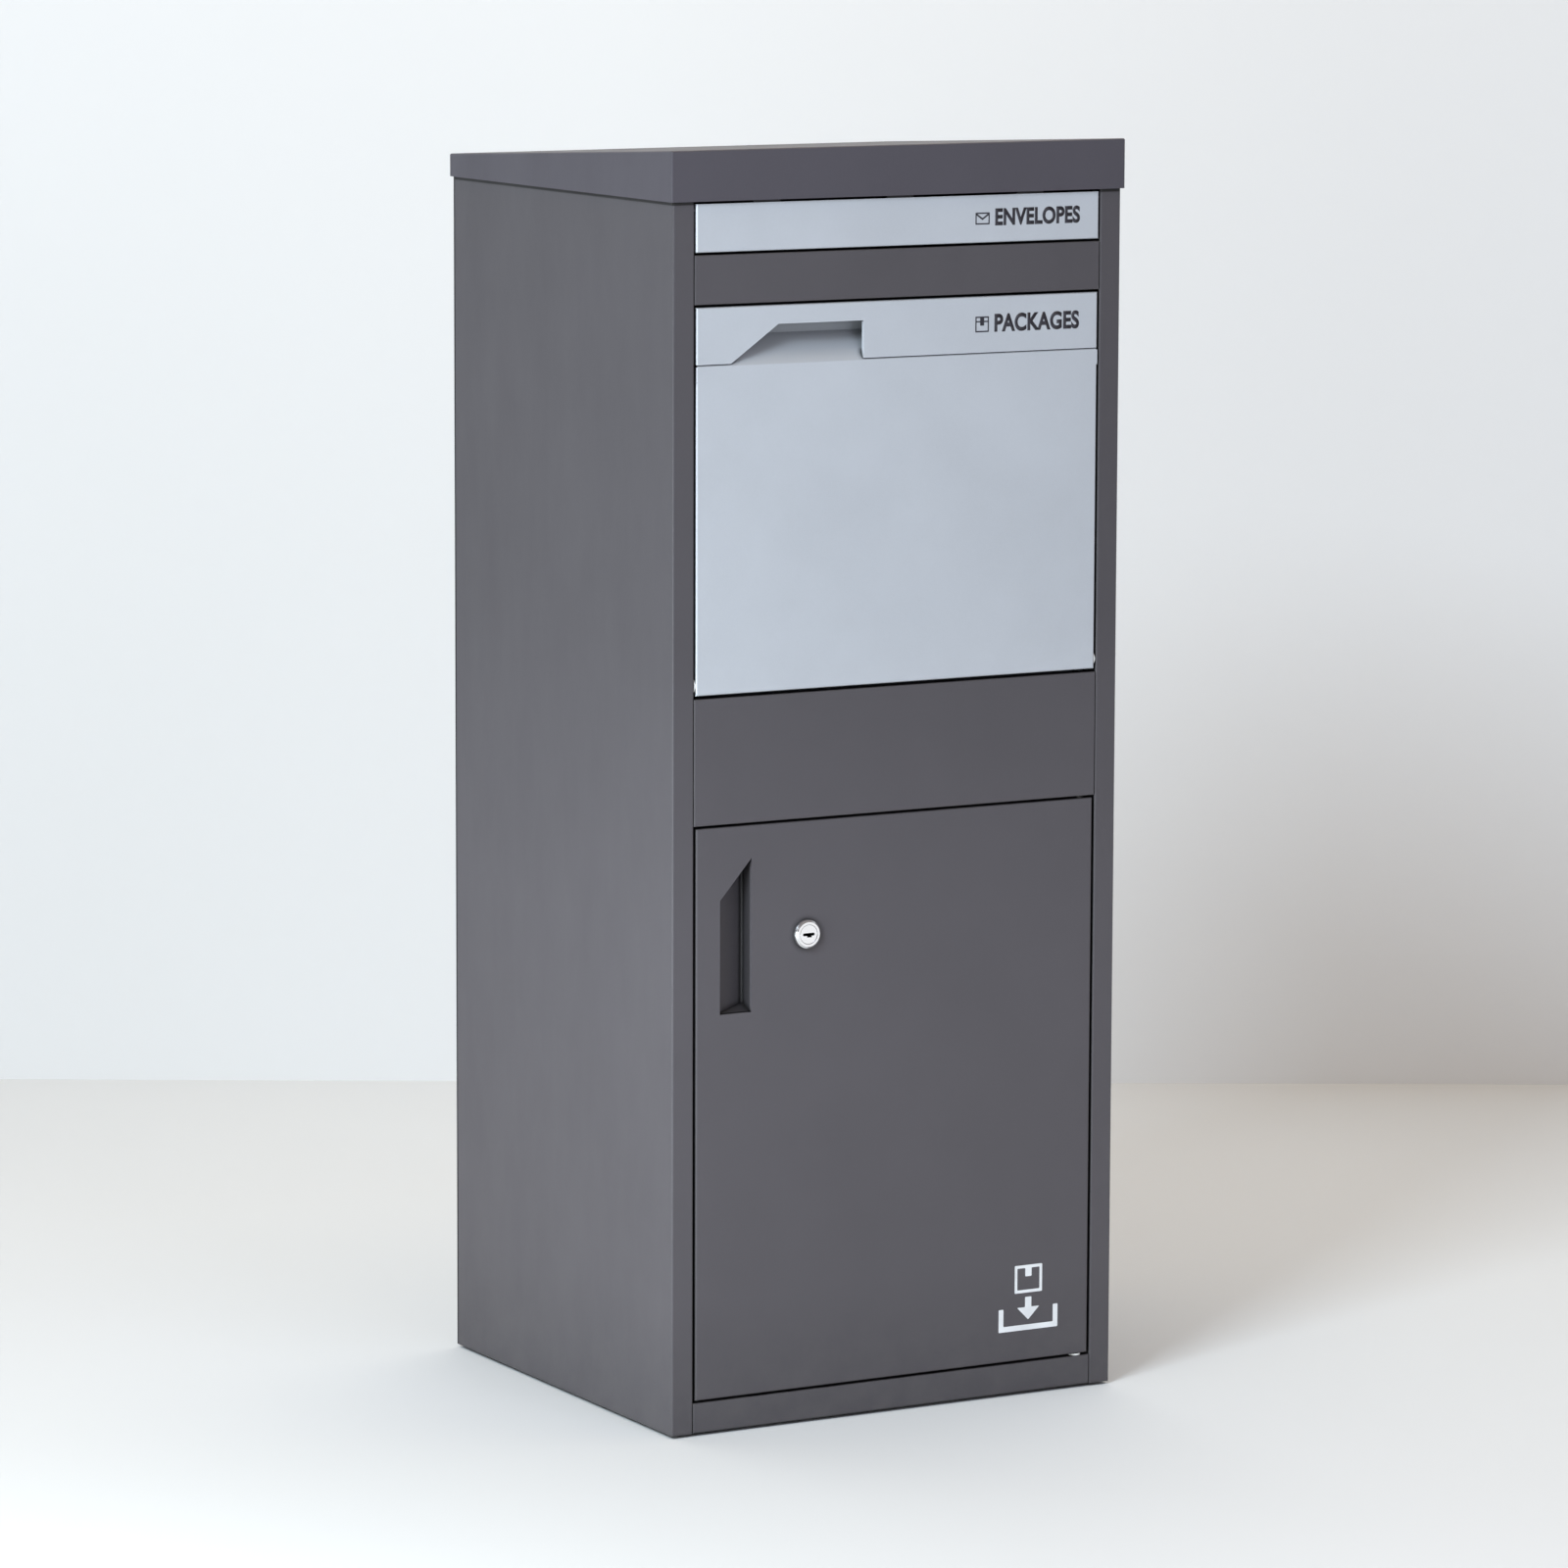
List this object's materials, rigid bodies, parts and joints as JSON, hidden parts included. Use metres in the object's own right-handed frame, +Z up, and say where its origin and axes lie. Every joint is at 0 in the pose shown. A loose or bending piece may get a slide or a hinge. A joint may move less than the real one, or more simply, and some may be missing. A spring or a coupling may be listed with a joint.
{
  "type": "parcel drop box",
  "caption": "Freestanding folded-steel parcel drop box with a spring-shut letter flap, a tilting parcel hopper and a cam-locked vault door under a sloping lid.",
  "frame": {"origin": "on the floor, under the middle of the whole object's bounding box", "axes": "+Z up, +X to the right as seen from the front, -Y towards whoever stands in front of the doors"},
  "size_m": [0.4132, 0.3838, 1.0199],
  "materials": {
    "body_grey": "fine-textured dark grey powder coat",
    "silver_paint": "smooth satin silver-grey powder coat",
    "chrome": "polished chrome plate",
    "zinc_steel": "bright zinc plate",
    "spring_steel": "bright drawn wire",
    "nylon_white": "moulded nylon",
    "rubber_black": "moulded rubber"
  },
  "bodies": {
    "cabinet": {"left_side_panel": "body_grey", "right_side_panel": "body_grey", "back_panel": "body_grey", "base_tray": "body_grey", "feet": "rubber_black", "bottom_rail": "body_grey", "middle_fascia": "body_grey", "letter_rail": "body_grey", "top_cross_rail": "body_grey", "rear_cross_rail": "body_grey", "front_rail_rivets": "zinc_steel", "back_panel_rivets": "zinc_steel", "roof_lid": "body_grey", "roof_lid_brackets": "zinc_steel", "roof_lid_studs": "zinc_steel", "roof_lid_nuts": "zinc_steel", "letter_chute": "body_grey", "anti_theft_baffle": "body_grey", "letter_flap_rod": "zinc_steel", "flap_rod_clips": "spring_steel", "hopper_pivot_pins": "zinc_steel", "hopper_bumpers": "rubber_black", "door_hinge_pins": "zinc_steel", "door_hinge_washer": "nylon_white", "door_bumpers": "rubber_black"},
    "letter_flap": {"letter_flap": "silver_paint", "letter_flap_tube": "zinc_steel", "letter_flap_springs": "spring_steel"},
    "hopper": {"parcel_door_panel": "silver_paint", "parcel_handle_cap": "silver_paint", "hopper_side_left": "silver_paint", "hopper_side_right": "silver_paint", "hopper_floor": "silver_paint", "hopper_pivot_bushes": "nylon_white", "hopper_rivets": "zinc_steel"},
    "lower_door": {"door_skin": "body_grey", "door_handle_scoop": "body_grey", "door_stiffener": "body_grey", "door_hinge_plates": "zinc_steel", "lock_barrel": "chrome", "lock_nut": "zinc_steel"},
    "lock_plug": {"lock_plug": "chrome", "lock_cam": "zinc_steel", "cam_bolt": "zinc_steel"}
  },
  "joints": [
    {"name": "letter_flap_hinge", "type": "hinge", "parent": "cabinet", "child": "letter_flap", "pos_m": [0, -0.18275, 0.9735], "axis": [1, 0, 0], "range_deg": [0, 65], "stiffness_Nm_per_rad": 0.05, "springref_deg": -20.05},
    {"name": "hopper_tilt", "type": "hinge", "parent": "cabinet", "child": "hopper", "pos_m": [0, -0.18135, 0.6013], "axis": [1, 0, 0], "range_deg": [0, 45]},
    {"name": "lower_door_hinge", "type": "hinge", "parent": "cabinet", "child": "lower_door", "pos_m": [0.1738, -0.18155, 0.2585], "axis": [0, 0, 1], "range_deg": [0, 110]},
    {"name": "lock_turn", "type": "hinge", "parent": "lower_door", "child": "lock_plug", "pos_m": [-0.0832, -0.18735, 0.3974], "axis": [0, 1, 0], "range_deg": [0, 90]}
  ]
}
